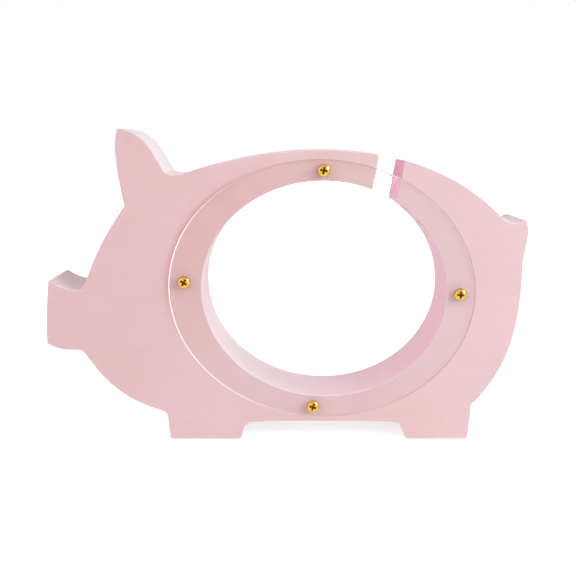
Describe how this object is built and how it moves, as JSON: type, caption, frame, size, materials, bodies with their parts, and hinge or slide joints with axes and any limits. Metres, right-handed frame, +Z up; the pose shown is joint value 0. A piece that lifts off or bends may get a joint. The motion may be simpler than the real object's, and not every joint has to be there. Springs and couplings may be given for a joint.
{
  "type": "wooden money box",
  "caption": "Flat pig-shaped wooden money box with a coin slot in its back and clear screwed-on windows over a see-through oval chamber.",
  "frame": {"origin": "middle of the footprint on the ground, under the middle of the board's length and thickness", "axes": "+X from snout to tail, +Y from the front face to the rear face, +Z up"},
  "size_m": [0.2101, 0.0428, 0.137],
  "materials": {
    "pink_painted_wood": "matt pale pink paint on a close-grained board",
    "clear_acrylic": "clear, polished faces, satin sawn edge",
    "brass": "bright, lightly lacquered"
  },
  "bodies": {
    "board": {"board": "pink_painted_wood"},
    "front_window": {"front_window": "clear_acrylic"},
    "rear_window": {"rear_window": "clear_acrylic"},
    "front_screw_top": {"front_screw_top": "brass"},
    "front_screw_left": {"front_screw_left": "brass"},
    "front_screw_bottom": {"front_screw_bottom": "brass"},
    "front_screw_right": {"front_screw_right": "brass"},
    "rear_screw_top": {"rear_screw_top": "brass"},
    "rear_screw_left": {"rear_screw_left": "brass"},
    "rear_screw_bottom": {"rear_screw_bottom": "brass"},
    "rear_screw_right": {"rear_screw_right": "brass"}
  },
  "joints": [
    {"name": "front_window_lift_off", "type": "slide", "parent": "board", "child": "front_window", "axis": [0, -1, 0], "range_m": [0, 0.04]},
    {"name": "rear_window_lift_off", "type": "slide", "parent": "board", "child": "rear_window", "axis": [0, 1, 0], "range_m": [0, 0.04]},
    {"name": "front_screw_top_out", "type": "slide", "parent": "front_window", "child": "front_screw_top", "axis": [0, -1, 0], "range_m": [0, 0.014]},
    {"name": "front_screw_left_out", "type": "slide", "parent": "front_window", "child": "front_screw_left", "axis": [0, -1, 0], "range_m": [0, 0.014]},
    {"name": "front_screw_bottom_out", "type": "slide", "parent": "front_window", "child": "front_screw_bottom", "axis": [0, -1, 0], "range_m": [0, 0.014]},
    {"name": "front_screw_right_out", "type": "slide", "parent": "front_window", "child": "front_screw_right", "axis": [0, -1, 0], "range_m": [0, 0.014]},
    {"name": "rear_screw_top_out", "type": "slide", "parent": "rear_window", "child": "rear_screw_top", "axis": [0, 1, 0], "range_m": [0, 0.014]},
    {"name": "rear_screw_left_out", "type": "slide", "parent": "rear_window", "child": "rear_screw_left", "axis": [0, 1, 0], "range_m": [0, 0.014]},
    {"name": "rear_screw_bottom_out", "type": "slide", "parent": "rear_window", "child": "rear_screw_bottom", "axis": [0, 1, 0], "range_m": [0, 0.014]},
    {"name": "rear_screw_right_out", "type": "slide", "parent": "rear_window", "child": "rear_screw_right", "axis": [0, 1, 0], "range_m": [0, 0.014]}
  ]
}
